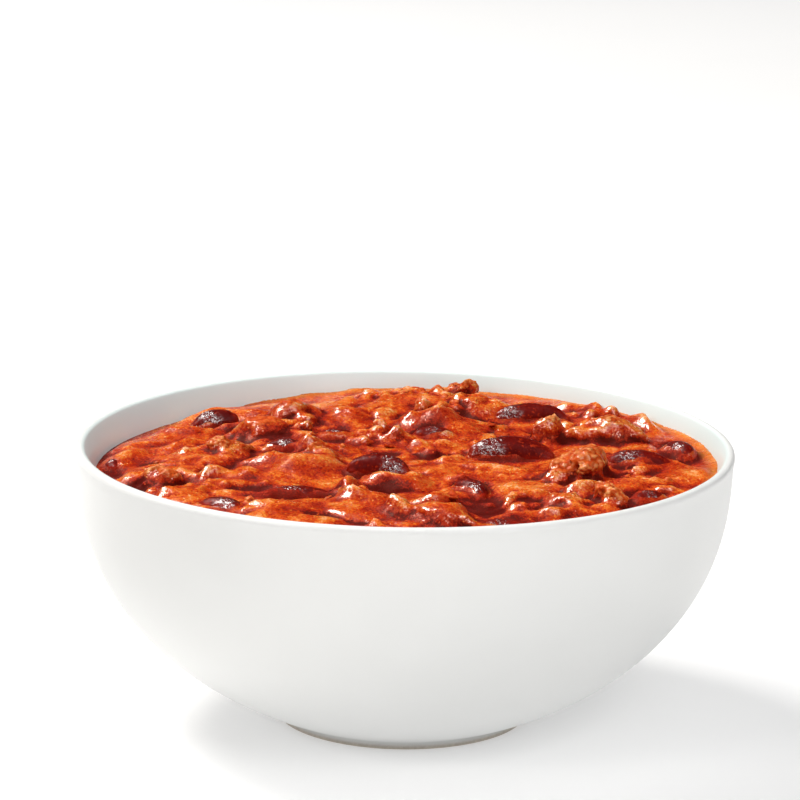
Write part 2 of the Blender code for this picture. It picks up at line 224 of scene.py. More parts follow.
def plates(x, y, size, seed):
    """Slabs that lean every way, from about -1 to 1, with creases between."""
    x, y = np.broadcast_arrays(x / size, y / size)
    column, row = np.floor(x).astype(np.int64), np.floor(y).astype(np.int64)
    slabs = []
    for a, b in itertools.product((-1, 0, 1), repeat=2):
        i, j = column + a, row + b
        way_x = x - (i + 0.5 + 0.45 * lattice(i, j, 0, seed))
        way_y = y - (j + 0.5 + 0.45 * lattice(i, j, 1, seed))
        slabs.append((np.hypot(way_x, way_y), 0.5 + 0.5 * lattice(i, j, 2, seed), way_x, way_y))
    slabs = np.array(slabs)
    nearest = np.argsort(slabs[:, 0], axis=0, kind="stable")[:2, None]
    (away, own, way_x, way_y), (next_away, *_) = np.take_along_axis(slabs, nearest, axis=0)
    lean = math.tau * (7.0 * own % 1.0)
    lift = (own - 0.5) + 1.1 * (way_x * np.cos(lean) + way_y * np.sin(lean))
    return lift * smoothstep(0.0, 0.16, next_away - away)


# ---- Distance fields ----

class Field:
    """Distances to a surface on a grid, in millimetres, negative inside."""

    def __init__(self, low, high, step):
        self.low = np.array(low, float)
        self.step = step
        self.axes = [np.arange(a, b + step, step) for a, b in zip(low, high)]
        self.value = np.full([len(axis) for axis in self.axes], 99.0)

    def window(self, centre, reach):
        """The part of the grid around a point, and its coordinates."""
        slices = []
        for axis, c, r in zip(self.axes, centre, reach):
            slices.append(slice(*np.searchsorted(axis, (c - r, c + r))))
        grid = np.ix_(*(axis[s] for axis, s in zip(self.axes, slices)))
        return tuple(slices), grid

    def sample(self, points):
        """The value at any points, between the grid's own."""
        place = np.clip((points - self.low) / self.step, 0.0, np.array(self.value.shape) - 1.001)
        base = place.astype(int)
        part = place - base
        total = np.zeros(len(points))
        for corner in itertools.product((0, 1), repeat=3):
            weight = np.prod(np.where(corner, part, 1.0 - part), axis=1)
            i, j, k = (base + corner).T
            total += weight * self.value[i, j, k]
        return total


def surface_net(field):
    """The zero surface of a field: a vertex in each crossed cell, and a face
    across each crossed edge of the grid, facing out."""
    value = field.value
    inside = value < 0.0
    size = np.array(value.shape) - 1
    corners = np.array(list(itertools.product((0, 1), repeat=3)))
    count = np.zeros(size, np.int8)
    for a, b, c in corners:
        count += inside[a:a + size[0], b:b + size[1], c:c + size[2]]
    crossed = (count > 0) & (count < len(corners))
    cells = np.argwhere(crossed)
    number = np.full(crossed.shape, -1, np.int64)
    number[crossed] = np.arange(len(cells))

    total = np.zeros((len(cells), 3))
    hits = np.zeros(len(cells))
    for a, b in itertools.combinations(corners, 2):
        if np.abs(a - b).sum() != 1:
            continue
        va = value[tuple((cells + a).T)]
        vb = value[tuple((cells + b).T)]
        cut = (va < 0.0) != (vb < 0.0)
        t = va[cut] / (va[cut] - vb[cut])
        total[cut] += a + t[:, None] * (b - a)
        hits[cut] += 1
    verts = field.low + field.step * (cells + total / hits[:, None])

    faces = []
    for axis in range(3):
        others = [(axis + 1) % 3, (axis + 2) % 3]
        u, v = np.eye(3, dtype=int)[others]
        near = np.moveaxis(np.moveaxis(inside, axis, 0)[:-1], 0, axis)
        far = np.moveaxis(np.moveaxis(inside, axis, 0)[1:], 0, axis)
        for outward in (True, False):
            edge = np.argwhere((near & ~far) if outward else (far & ~near))
            edge = edge[((edge[:, others] > 0) & (edge[:, others] < size[others])).all(axis=1)]
            ring = [edge - u - v, edge - v, edge, edge - u]
            quads = np.stack([number[tuple(c.T)] for c in ring], axis=1)
            faces.append(quads if outward else quads[:, ::-1])
    faces = np.concatenate(faces)
    return verts, faces[(faces >= 0).all(axis=1)]


def relax(verts, faces, rounds, amount):
    """Evens out the small steps that the grid leaves."""
    first, second = faces.ravel(), np.roll(faces, -1, axis=1).ravel()
    links = np.bincount(np.concatenate([first, second]), minlength=len(verts))
    for _ in range(rounds):
        total = np.zeros_like(verts)
        for n in range(3):
            total[:, n] += np.bincount(first, verts[second, n], len(verts))
            total[:, n] += np.bincount(second, verts[first, n], len(verts))
        verts = verts + amount * (total / np.maximum(links, 1)[:, None] - verts)
    return verts


def turned(degrees):
    """A turn about the upright axis."""
    a = math.radians(degrees)
    return np.array([[math.cos(a), -math.sin(a), 0.0], [math.sin(a), math.cos(a), 0.0], [0, 0, 1.0]])


def tipped(degrees):
    """A turn that lifts the end of the x axis."""
    a = math.radians(degrees)
    return np.array([[math.cos(a), 0.0, -math.sin(a)], [0, 1.0, 0], [math.sin(a), 0.0, math.cos(a)]])


def in_axes(grid, centre, turn):
    """A grid's places along the axes that are the columns of turn."""
    offset = [g - c for g, c in zip(grid, centre)]
    return [sum(turn[k, n] * offset[k] for k in range(3)) for n in range(3)]


def to_ellipsoid(local, half):
    """About the distance to an ellipsoid, from places along its own axes."""
    reach = np.sqrt(sum((p / h) ** 2 for p, h in zip(local, half)))
    slope = np.sqrt(sum((p / h ** 2) ** 2 for p, h in zip(local, half)))
    return reach * (reach - 1.0) / np.maximum(slope, 1e-6)


# ---- The stew's surface, on the level of the CAD solid ----

def curve_radius(curve, z):
    """How wide the bowl's inner or outer curve is at a height."""
    share = clamp((BOWL_HEIGHT - z) / (BOWL_HEIGHT - curve["bottom"])) ** curve["m"]
    return curve["radius"] * (1.0 - share) ** (1.0 / curve["n"])


def wall_radius(z):
    """The bowl's inside, which flares towards its lip."""
    up = clamp((z - FLARE_START) / (FLARE_TOP - FLARE_START))
    return curve_radius(INNER_CURVE, z) + FLARE * up ** 2


def stew_level(x, y):
    """The level without any lumps: domed, and lower on one side."""
    radius = np.hypot(x, y)
    angle = np.arctan2(y, x) - SAG_ANGLE
    angle = np.abs((angle + math.pi) % math.tau - math.pi)
    around = 1.0 - smoothstep(0.25, 1.0, angle / SAG_HALF_WIDTH)
    outward = smoothstep(0.45, 1.0, radius / STEW_RADIUS)
    dome = 1.0 - (radius / STEW_RADIUS) ** 2
    return STEW_LEVEL + DOME * dome - SAG * around * outward


def along_across(x, y, centre, half, turn):
    """Places along and across a piece, in its half sizes."""
    a = math.radians(turn)
    x, y = x - centre[0], y - centre[1]
    return (x * math.cos(a) + y * math.sin(a)) / half[0], (y * math.cos(a) - x * math.sin(a)) / half[1]


def lump_height(x, y, lumps):
    """The heights of all lumps melted into one another."""
    total = 0.0
    for *place, height, turn in lumps:
        along, across = along_across(x, y, place[:2], place[2:], turn)
        reach = along ** 2 + across ** 2
        total = total + (height * clamp(1.0 - reach) ** 0.75) ** 3
    return total ** (1.0 / 3.0)


def mound(x, y, piece, seed):
    """A piece under thick sauce: planes that fall away from a soft top."""
    rng = np.random.default_rng(seed)
    *place, top, turn = piece
    along, across = along_across(x, y, place[:2], MOUND_SWELL * np.array(place[2:]), turn)
    planes = [-1.0]
    for side in range(6):
        way = math.pi * (side + rng.uniform(-0.4, 0.4)) / 3.0
        start, fall = rng.uniform(0.95, 1.35), rng.uniform(0.7, 1.25)
        planes.append(fall * (along * math.cos(way) + across * math.sin(way) - start))
    return -MOUND_RISE * top * soft_highest(planes, MOUND_EDGE)


def mound_height(x, y):
    """The mounds over lumps and hidden pieces, melted into one another."""
    heights = [0.7 * lump_height(x, y, LUMPS)]
    for number, piece in enumerate(HIDDEN_PIECES):
        if piece[2] >= BEAD_SIZE:
            heights.append(np.clip(mound(x, y, piece, 500 + number), -9.0, 9.0))
    return soft_highest(heights, MOUND_FOOT)


def shaded_hollow_depth(x, y):
    """How far into one of the shaded hollows a place lies, from 0 to 1; the sauce sinks there and is
    painted darker as shade.
    """
    depth = 0.0
    for *place, turn in SHADED_HOLLOWS:
        along, across = along_across(x, y, place[:2], place[2:], turn)
        depth = np.maximum(depth, np.exp(-(along ** 2 + across ** 2) ** 2))
    return depth


def random_spot(rng, reach):
    """A place on a disc, every part of it as likely."""
    radius, angle = reach * math.sqrt(rng.random()), math.tau * rng.random()
    return radius * math.cos(angle), radius * math.sin(angle)


def small_lumps(rng):
    """Bits under the sauce that only swell it a little, as rows of LUMPS."""
    lumps = []
    for _ in range(SWELLS):
        spot = random_spot(rng, SWELL_REACH)
        half = rng.uniform(1.8, 4.6)
        width, height = half * rng.uniform(0.5, 0.9), half * rng.uniform(0.22, 0.42)
        lumps.append((*spot, half, width, height, rng.uniform(0.0, 180.0)))
    return lumps


def stew_surface(x, y, bits):
    """The sauce without its crumbs, beans and chunks."""
    radius = np.hypot(x, y) / STEW_RADIUS
    inward = smoothstep(0.98, 0.80, radius)
    wx, wy = (
        side + 1.4 * noise(x, y, 0.0, 6.0, seed) + 0.2 * noise(x, y, 0.0, 2.0, seed + 2)
        for side, seed in ((x, 31), (y, 32))
    )
    mounds = mound_height(wx, wy)
    z = stew_level(x, y) + smoothstep(1.0, 0.965, radius) * mounds
    z = z + smoothstep(0.99, 0.9, radius) * 0.7 * lump_height(wx, wy, bits)
    z = z + inward * (0.6 * plates(wx, wy, 13.0, 43) + 0.12 * plates(wx, wy, 5.0, 44))
    z = z - 0.8 * shaded_hollow_depth(wx, wy)
    z = z + inward * 0.45 * noise(x, y, 0.0, 9.0, 7)
    lumpy = smoothstep(-0.1, 0.5, noise(x, y, 0.0, 15.0, 3)) + smoothstep(1.5, 3.0, mounds)
    z = z + inward * (0.03 + 0.13 * lumpy) * rough_noise(x, y, 0.0, 2.8, 5)
    meniscus = 0.3 + 0.4 * smoothstep(-48.0, -25.0, x) + 0.35 * noise(x, y, 0.0, 6.0, 6)
    return z + meniscus * np.exp(np.minimum(radius - 1.0, 0.0) * STEW_RADIUS / 1.3)


# ---- Reading the CAD solids ----

def solids_named(start):
    return sorted(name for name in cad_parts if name.startswith(start))


def solid_points(name):
    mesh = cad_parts[name].data
    points = np.empty(3 * len(mesh.vertices))
    mesh.vertices.foreach_get("co", points)
    return points.reshape(-1, 3) / MM


def solid_place(name):
    """A CAD solid's centre, turn and half sizes, by its smallest footprint."""
    points = solid_points(name)
    best = None
    for degrees in range(0, 180, 2):
        local = points @ turned(degrees)
        size = np.ptp(local, axis=0)
        if size[0] >= size[1] and (best is None or size[0] * size[1] < best[0]):
            best = (size[0] * size[1], degrees)
    turn = turned(best[1])
    local = points @ turn
    middle = 0.5 * (local.min(axis=0) + local.max(axis=0))
    return turn @ middle, turn, 0.5 * np.ptp(local, axis=0)


# ---- Meshes and objects ----

def ring(x, y, z):
    """A row of three for each point of a ring."""
    return np.stack(np.broadcast_arrays(x, y, z), axis=1)


def ringed(first, rings, last):
    """A closed mesh from a first point, over rings of points, to a last point."""
    sides = len(rings[0])
    pairs = [(k, (k + 1) % sides) for k in range(sides)]
    faces = [(0, 1 + n, 1 + k) for k, n in pairs]
    end = 1 + sides * (len(rings) - 1)
    for a in range(1, end, sides):
        faces += [(a + k, a + n, a + sides + n, a + sides + k) for k, n in pairs]
    faces += [(end + k, end + n, end + sides) for k, n in pairs]
    return np.concatenate([[first], *rings, [last]]), faces


def turns_round(sides):
    """Angles all the way round, in even steps."""
    return np.linspace(0.0, math.tau, sides, endpoint=False)


def joined(parts):
    """One mesh from the vertices and faces of many."""
    verts, faces, count = [], [], 0
    for own, sides in parts:
        verts.append(own)
        faces += [[n + count for n in side] for side in sides]
        count += len(own)
    return np.concatenate(verts), faces


def new_object(name, data):
    made = bpy.data.objects.new(name, data)
    bpy.context.scene.collection.objects.link(made)
    return made


def add_piece(name, verts, faces, material, values=None):
    """A smooth closed mesh from millimetres, which rides on the part."""
    mesh = bpy.data.meshes.new(name)
    mesh.from_pydata((np.asarray(verts) * MM).tolist(), [], [list(map(int, f)) for f in faces])
    mesh.shade_smooth()
    for key, value in (values or {}).items():
        layer = mesh.attributes.new(key, "FLOAT", "POINT")
        layer.data.foreach_set("value", np.asarray(value, np.float32))
    mesh.materials.append(material)
    piece = new_object(name, mesh)
    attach(piece, "root")
    return piece


# ---- Materials ----

def set_stops(ramp, stops):
    """Sets a colour ramp's stops, which are in order of place."""
    while len(ramp.elements) < len(stops):
        ramp.elements.new(1.0)
    for n, (place, colour) in enumerate(stops):
        ramp.elements[n].position = place
        ramp.elements[n].color = (*colour, 1.0)


class Shade:
    """A node material, with short names for the nodes it is made of."""

    def __init__(self, name, **constants):
        self.material = bpy.data.materials.new(name)
        self.material.use_nodes = True
        self.tree = self.material.node_tree
        self.skin = self.tree.nodes["Principled BSDF"]
        for socket, value in constants.items():
            self.skin.inputs[socket.replace("_", " ").title().replace("Ior", "IOR")].default_value = value
        self.place = self.add("ShaderNodeTexCoord").outputs["Object"]

    def add(self, kind, settings=None, **inputs):
        node = self.tree.nodes.new(kind)
        for key, value in (settings or {}).items():
            setattr(node, key, value)
        for key, value in inputs.items():
            self.feed(node.inputs[key.replace("_", " ")], value)
        return node

    def feed(self, socket, value):
        if isinstance(value, bpy.types.NodeSocket):
            self.tree.links.new(value, socket)
        else:
            socket.default_value = value

    def grain(self, size, detail=2.0, roughness=0.55, seed=0.0, distortion=0.0):
        """Noise from 0 to 1 with bumps of about size millimetres."""
        node = self.add(
            "ShaderNodeTexNoise", {"noise_dimensions": "4D"}, Vector=self.place, W=seed,
            Scale=1.0 / (size * MM), Detail=detail, Roughness=roughness, Distortion=distortion,
        )
        return node.outputs["Fac"]

    def pebbles(self, size, seed=0.0):
        """Round grains of about size millimetres, 1 at their tops."""
        node = self.add(
            "ShaderNodeTexVoronoi", {"voronoi_dimensions": "4D", "feature": "SMOOTH_F1"},
            Vector=self.place, W=seed, Scale=1.0 / (size * MM), Smoothness=0.25,
        )
        return self.math("SUBTRACT", 1.0, node.outputs["Distance"])

    def value(self, name):
        return self.add("ShaderNodeAttribute", {"attribute_name": name}).outputs["Fac"]

    def math(self, operation, a, b=0.0, c=0.0):
        node = self.add("ShaderNodeMath", {"operation": operation})
        for socket, value in zip(node.inputs, (a, b, c)):
            self.feed(socket, value)
        return node.outputs["Value"]

    def times(self, a, b):
        return self.math("MULTIPLY", a, b)

    def total(self, *terms):
        """The sum of (amount, socket) terms."""
        result = 0.0
        for amount, socket in terms:
            result = self.math("MULTIPLY_ADD", socket, amount, result)
        return result

    def range(self, value, low, high, new_low=0.0, new_high=1.0):
        node = self.add("ShaderNodeMapRange", {"interpolation_type": "SMOOTHSTEP"})
        for socket, entry in zip(node.inputs, (value, low, high, new_low, new_high)):
            self.feed(socket, entry)
        return node.outputs["Result"]

    def ramp(self, factor, *stops):
        """A colour ramp through (place, (red, green, blue)) stops."""
        node = self.add("ShaderNodeValToRGB", Fac=factor)
        set_stops(node.color_ramp, stops)
        return node.outputs["Color"]

    def mix(self, factor, a, b):
        node = self.add("ShaderNodeMix", {"data_type": "RGBA"})
        self.feed(node.inputs["Factor"], factor)
        for socket, value in ((node.inputs[6], a), (node.inputs[7], b)):
            self.feed(socket, value if isinstance(value, bpy.types.NodeSocket) else (*value, 1.0))
        return node.outputs[2]

    def bump(self, height, distance, under=None):
        """Relief of a height from 0 to 1 over a distance in millimetres."""
        node = self.add("ShaderNodeBump", Height=height, Distance=distance * MM, Strength=1.0)
        if under:
            self.feed(node.inputs["Normal"], under)
        return node.outputs["Normal"]

    def shoulders(self):
        """1 on slopes between the flat tops and the steep sides."""
        steep = self.value("steep")
        low, high = self.range(steep, 0.03, 0.13), self.range(steep, 0.75, 0.4)
        return self.times(low, high)

    def wear(self, **sockets):
        """Feeds the shader's own sockets, and gives the material."""
        for key, value in sockets.items():
            self.feed(self.skin.inputs[key.replace("_", " ").title()], value)
        return self.material


# Darkest sauce colour, reached in hollows and on steep sides, where it is painted shade.
MAROON = (0.085, 0.0012, 0.001)
DEEP_RED = (0.27, 0.009, 0.002)
SAUCE_RED = (0.41, 0.031, 0.005)
SAUCE_ORANGE = (0.56, 0.079, 0.009)
PALE_ORANGE = (0.66, 0.200, 0.029)
# Palest sauce colour, reached on crests and pale flecks, where it is a painted highlight.
CREAM_HIGHLIGHT = (0.80, 0.42, 0.25)
WARM_GLOSS = (1.0, 0.68, 0.38, 1.0)
BEAN_DARK = (0.085, 0.0020, 0.0016)
BEAN_BROWN = (0.17, 0.006, 0.003)
BEAN_RED = (0.27, 0.018, 0.006)
GLAZE = ((0.745, 0.75, 0.74), (0.77, 0.775, 0.765))
BOUNCE_CANCEL_TINT = (0.70, 0.79, 0.78)      # painted cool tint inside the bowl, against the red light that the stew throws on the glaze
# Unglazed clay of the foot; carried up the foot's side, its brown is also painted shade at the foot.
CLAY_AND_FOOT_SHADE = ((0.50, 0.44, 0.37), (0.62, 0.56, 0.48))
FAR_FLOOR = (0.95, 0.955, 0.965)


def sauce_material():
    s = Shade(
        "sauce", ior=1.4, specular_ior_level=0.22, specular_tint=WARM_GLOSS, coat_roughness=0.18,
        coat_ior=2.05, subsurface_weight=0.45, subsurface_radius=(1.0, 0.22, 0.08),
        subsurface_scale=2.2 * MM,
    )
    curds = s.grain(0.8, seed=3.0)
    specks = s.grain(0.38, 1.0, seed=8.0)
    tone = s.total(
        (1.15, s.grain(10.0, seed=1.0, distortion=0.6)),
        (0.85, s.grain(3.4, 3.0, seed=2.0)),
        (0.60, curds),
        (0.9, specks),
        # pale flecks: partly small pale bits in the sauce, partly painted highlights
        (0.45, s.range(s.grain(0.9, 1.0, seed=9.0), 0.64, 0.75)),
        (-0.30, s.range(s.grain(0.7, 1.0, seed=10.0), 0.34, 0.25)),
        # painted shade: darker in hollows
        (-1.4, s.value("hollow")),
        # painted shade: darker on steep sides
        (-0.6, s.value("steep")),
        # painted light: lighter on crests
        (0.46, s.value("crest")),
        # painted shade: darker in the shaded hollows
        (-0.45, s.value("pool")),
        (-0.81, 1.0),
    )
    tone = s.times(tone, 0.7)
    colour = s.ramp(
        tone, (0.24, MAROON), (0.42, DEEP_RED), (0.56, SAUCE_RED),
        (0.68, SAUCE_ORANGE), (0.84, PALE_ORANGE), (1.0, CREAM_HIGHLIGHT),
    )
    colour = s.mix(s.times(s.value("thin"), 0.35), colour, DEEP_RED)
    # paler band of thin sauce along the wall, left out on the shaded left side: partly painted light
    colour = s.mix(s.times(s.value("wall"), 0.65), colour, PALE_ORANGE)
    raised = s.total((1.0, s.value("crest")), (-1.0, s.value("hollow")), (-0.5, s.value("pool")))
    patches = s.range(s.grain(3.0, seed=7.0), 0.36, 0.50, 0.45, 1.0)
    wet = s.times(patches, s.range(tone, 0.54, 0.67))
    fine = s.bump(curds, 0.09, s.bump(specks, 0.05))
    relief = s.bump(s.grain(1.6, seed=5.0, distortion=0.4), 0.2, fine)
    return s.wear(
        base_color=colour,
        roughness=s.total(
            (1.0, s.range(s.grain(2.6, seed=6.0), 0.38, 0.62, 0.18, 0.42)),
            (1.0, s.range(tone, 0.52, 0.36, 0.0, 0.2)),
            (0.5, s.value("hollow")),
            (0.3, s.value("pool")),
        ),
        coat_weight=s.times(s.times(s.shoulders(), s.range(raised, -0.2, 0.08)), wet),
        normal=relief,
        coat_normal=relief,
    )


def bean_material():
    s = Shade("bean_skin", ior=1.45, specular_ior_level=0.07, coat_roughness=0.24, coat_ior=2.4)
    tone = s.total(
        (0.5, s.grain(5.0, seed=11.0)),
        (0.3, s.grain(0.9, 3.0, seed=12.0)),
        (0.5, s.value("edge")),
    )
    colour = s.ramp(tone, (0.3, BEAN_DARK), (0.6, BEAN_BROWN), (0.95, BEAN_RED))
    smear = s.range(s.total((0.7, s.grain(3.4, 3.0, seed=13.0)), (0.4, s.value("low"))), 0.58, 0.78)
    colour = s.mix(s.times(smear, 0.75), colour, DEEP_RED)
    colour = s.mix(s.range(s.grain(0.7, seed=17.0), 0.56, 0.68, 0.0, 0.65), colour, SAUCE_RED)
    wrinkle = s.grain(0.8, 2.0, 0.6, seed=14.0, distortion=0.7)
    patch = s.range(s.value("shine"), 0.0, 1.0, 0.25, 1.0)
    relief = s.bump(s.times(wrinkle, patch), 0.42)
    wet = s.times(s.value("shine"), s.range(wrinkle, 0.44, 0.53, 0.05, 1.0))
    return s.wear(
        base_color=colour,
        roughness=s.range(s.grain(1.3, seed=16.0), 0.3, 0.7, 0.25, 0.45),
        coat_weight=wet,
        normal=relief,
        coat_normal=relief,
    )


# Chopped food: seed, dark, middle and light colour, and the grain's depth in
# millimetres.
CHOPPED = {
    "meat": (21.0, (0.15, 0.006, 0.002), (0.50, 0.070, 0.009), (0.80, 0.34, 0.11), 0.9),
    "mince": (24.0, (0.19, 0.012, 0.003), (0.52, 0.075, 0.012), (0.78, 0.26, 0.080), 0.35),
    "skin": (33.0, (0.10, 0.003, 0.002), (0.26, 0.012, 0.003), (0.50, 0.06, 0.01), 0.08),
    "tomato": (27.0, (0.22, 0.012, 0.003), (0.50, 0.060, 0.009), (0.68, 0.14, 0.03), 0.12),
}


def chopped_material(name, seed, dark, middle, light, grit):
    s = Shade(
        name, ior=1.42, specular_ior_level=0.15, specular_tint=WARM_GLOSS, coat_roughness=0.22,
        coat_ior=1.5, subsurface_weight=0.2, subsurface_radius=(1.0, 0.25, 0.1),
        subsurface_scale=1.2 * MM,
    )
    grains = s.pebbles(1.15, seed)
    rough = s.grain(0.5, seed=seed + 1.0)
    tone = s.total(
        (0.40, s.grain(4.5, seed=seed + 2.0)),
        # painted light: the grains lighter at their tops
        (0.95, grains),
        (0.45, rough),
        # painted shade: darker in hollows
        (-0.9, s.value("hollow")),
        # painted light: lighter on crests
        (0.25, s.value("crest")),
    )
    colour = s.ramp(s.math("MULTIPLY_ADD", tone, 1.05, -0.26), (0.34, dark), (0.66, middle), (1.0, light))
    film = s.range(s.grain(5.0, seed=seed + 3.0), 0.36, 0.60)
    coat = s.mix(s.range(s.grain(2.0, seed=seed + 4.0), 0.35, 0.65), SAUCE_RED, SAUCE_ORANGE)
    colour = s.mix(s.times(film, 0.6), colour, coat)
    fine = s.bump(rough, 0.05)
    relief = s.bump(s.times(grains, s.range(film, 0.0, 1.0, 1.0, 0.6)), grit, fine)
    return s.wear(
        base_color=colour,
        roughness=s.range(rough, 0.3, 0.7, 0.25, 0.5),
        coat_weight=s.times(s.shoulders(), s.range(tone, 0.9, 1.25, 0.0, 0.9)),
        normal=relief,
        coat_normal=relief,
    )


def porcelain_material():
    s = Shade("porcelain", ior=1.5, specular_ior_level=0.3)
    colour = s.ramp(s.grain(28.0, seed=31.0), (0.3, GLAZE[0]), (0.7, GLAZE[1]))
    # painted cool tint on the inside, against the red light bounced from the stew
    colour = s.mix(s.value("inside"), colour, BOUNCE_CANCEL_TINT)
    bare = s.value("bare")
    # unglazed foot, whose brown also stands as painted shade at the foot
    grit = s.ramp(s.grain(0.7, 3.0, seed=32.0), (0.3, CLAY_AND_FOOT_SHADE[0]), (0.7, CLAY_AND_FOOT_SHADE[1]))
    colour = s.mix(bare, colour, grit)
    wave = s.bump(s.grain(16.0, 1.0, seed=33.0), 0.10)
    return s.wear(
        base_color=colour,
        roughness=s.range(bare, 0.0, 1.0, 0.34, 0.8),
        normal=s.bump(s.grain(2.2, seed=34.0), 0.012, wave),
    )


def floor_material():
    s = Shade(
        "floor", roughness=0.85, specular_ior_level=0.1, emission_color=(1.0, 1.0, 1.0, 1.0),
        emission_strength=0.36,
    )
    colour = s.ramp(s.grain(60.0, seed=41.0), (0.3, (0.64, 0.64, 0.64)), (0.7, (0.66, 0.66, 0.66)))
    away = s.add("ShaderNodeVectorMath", {"operation": "LENGTH"}, Vector=s.place).outputs["Value"]
    colour = s.mix(s.range(away, 0.8, 1.7), colour, FAR_FLOOR)
    return s.wear(base_color=colour)


# ---- Bowl ----

def bowl_profile():
    """(radius, height) from the middle of the underside round to the inside."""
    inner_foot = FOOT_RADIUS - FOOT_RING_WIDTH
    foot = [
        (inner_foot - 3.0, RECESS_DEPTH), (inner_foot - 0.9, RECESS_DEPTH - 0.25),
        (inner_foot - 0.2, 0.75), (inner_foot + 0.25, 0.12), (inner_foot + 0.6, 0.0),
        (FOOT_RADIUS - 0.55, 0.0), (FOOT_RADIUS - 0.15, 0.15), (FOOT_RADIUS, 0.6), (FOOT_RADIUS, 1.2),
        (FOOT_RADIUS + 0.12, FOOT_HEIGHT), (FOOT_RADIUS + 0.7, FOOT_HEIGHT + 0.35),
    ]
    recess = [(r, RECESS_DEPTH) for r in np.linspace(3.0, inner_foot - 6.0, 6)]
    start, stop = FOOT_HEIGHT + 0.9, BOWL_HEIGHT - 4.0
    heights = start + (stop - start) * np.linspace(0.0, 1.0, 46) ** 1.25
    outside = [(curve_radius(OUTER_CURVE, z), z) for z in heights]
    lip_radius = 0.5 * LIP_THICKNESS
    centre = BOWL_RADIUS - lip_radius, BOWL_HEIGHT - lip_radius
    lip = [
        (centre[0] + lip_radius * math.cos(a), centre[1] + lip_radius * math.sin(a))
        for a in np.radians(np.linspace(-30.0, 150.0, 16))
    ]
    low = FLARE_START - 1.0
    flare = [(float(wall_radius(z)), z) for z in np.linspace(FLARE_TOP, low, 12)[1:]]
    angles = np.linspace(0.0, 0.5 * math.pi, 46)[1:-1]
    heights = FLOOR_HEIGHT + (low - FLOOR_HEIGHT) * np.cos(angles) ** 1.6
    inside = [(float(curve_radius(INNER_CURVE, z)), z) for z in heights]
    floor = [(r, FLOOR_HEIGHT) for r in (12.0, 4.0)]
    return recess + foot + outside + lip + flare + inside + floor


def build_bowl(material):
    turns = turns_round(BOWL_SEGMENTS)
    rings = [ring(r * np.cos(turns), r * np.sin(turns), z) for r, z in bowl_profile()]
    verts, faces = ringed((0.0, 0.0, RECESS_DEPTH), rings, (0.0, 0.0, FLOOR_HEIGHT))
    rim = np.hypot(verts[:, 0], verts[:, 1])
    # bare: the unglazed foot, reaching up its side so that its brown is also painted shade
    bare = smoothstep(1.5, 0.5, verts[:, 2]) * (rim < FOOT_RADIUS + 1.0)
    # inside: where the painted cool tint against the stew's red light goes
    inside = smoothstep(1.2, 0.3, rim - wall_radius(verts[:, 2])) * (verts[:, 2] > FLOOR_HEIGHT - 0.1)
    marks = {"bare": bare, "inside": inside}
    bowl = add_piece("porcelain_bowl", verts, faces, material, marks)
    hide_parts("bowl")


# ---- Beans ----

BEAN_BOW = 0.13             # how far a bean bows, as a share of its length


class Bean:
    """A kidney bean along its own x axis, bowed towards its own +y."""

    def __init__(self, name, number):
        self.name = name
        points = solid_points(name)
        self.centre, turn, _ = solid_place(name)
        local = (points - self.centre) @ turn
        slope = np.polyfit(local[:, 0], local[:, 2], 1)[0]
        if np.sum(local[:, 1] * (local[:, 0] ** 2 - np.mean(local[:, 0] ** 2))) > 0.0:
            turn = turn @ turned(180.0)
            slope = -slope
        self.turn = turn @ tipped(math.degrees(math.atan(slope)))
        local = (points - self.centre) @ self.turn
        middle = 0.5 * (local.min(axis=0) + local.max(axis=0))
        self.centre = self.centre + self.turn @ middle
        self.half = 0.5 * np.ptp(local, axis=0)
        self.number = number

    def bow(self, along):
        return BEAN_BOW * 2.0 * self.half[0] * ((1.0 - (along / self.half[0]) ** 2) - 0.5)

    def surface(self, rings, sides):
        """A wrinkled skin: its vertices and faces."""
        length, width, thickness = self.half
        width = width - 0.55 * BEAN_BOW * length
        turns = turns_round(sides)
        circles = []
        for a in math.pi * np.arange(1, rings) / rings:
            x, swell = -length * np.cos(a), np.sin(a) ** 0.8
            y = width * swell * np.cos(turns) + self.bow(x)
            circles.append(ring(x, y, thickness * swell * np.sin(turns)))
        ends = [(x, self.bow(x), 0.0) for x in (-length, length)]
        verts, faces = ringed(ends[0], circles, ends[1])
        normals = verts / self.half ** 2
        normals /= np.linalg.norm(normals, axis=1)[:, None]
        x, y, z = verts.T
        seed = 50 + self.number
        dents = 0.32 * noise(x, y, z, 5.5, seed) + 0.10 * noise(x, y, z, 2.0, seed + 1)
        tip = smoothstep(0.55, 1.0, np.abs(x) / self.half[0])
        creases = -0.22 * (1.0 - np.abs(noise(x * 0.5, y, z, 1.6, seed + 2))) ** 3 * (0.35 + tip)
        verts = verts + normals * (dents + creases - 0.12)[:, None]
        return verts @ self.turn.T + self.centre, faces

    def distance(self, grid):
        local = in_axes(grid, self.centre, self.turn)
        local[1] = local[1] - self.bow(np.clip(local[0], -self.half[0], self.half[0]))
        return to_ellipsoid(local, self.half * (1.0, 0.9, 1.0))


# ---- Meat, tomato and other chunks ----

CUT_EDGE = 13.0             # how crisp the edges of a cut piece are


def cut_form(x, y, z, rng, planes):
    """A piece cut by planes, with soft edges, about 1 from middle to side."""
    sides = [np.sqrt(x * x + y * y + z * z) - 1.05]
    for _ in range(planes):
        way = rng.normal(size=3)
        way /= np.linalg.norm(way)
        sides.append(x * way[0] + y * way[1] + z * way[2] - rng.uniform(0.70, 1.0))
    return soft_highest(sides, CUT_EDGE)


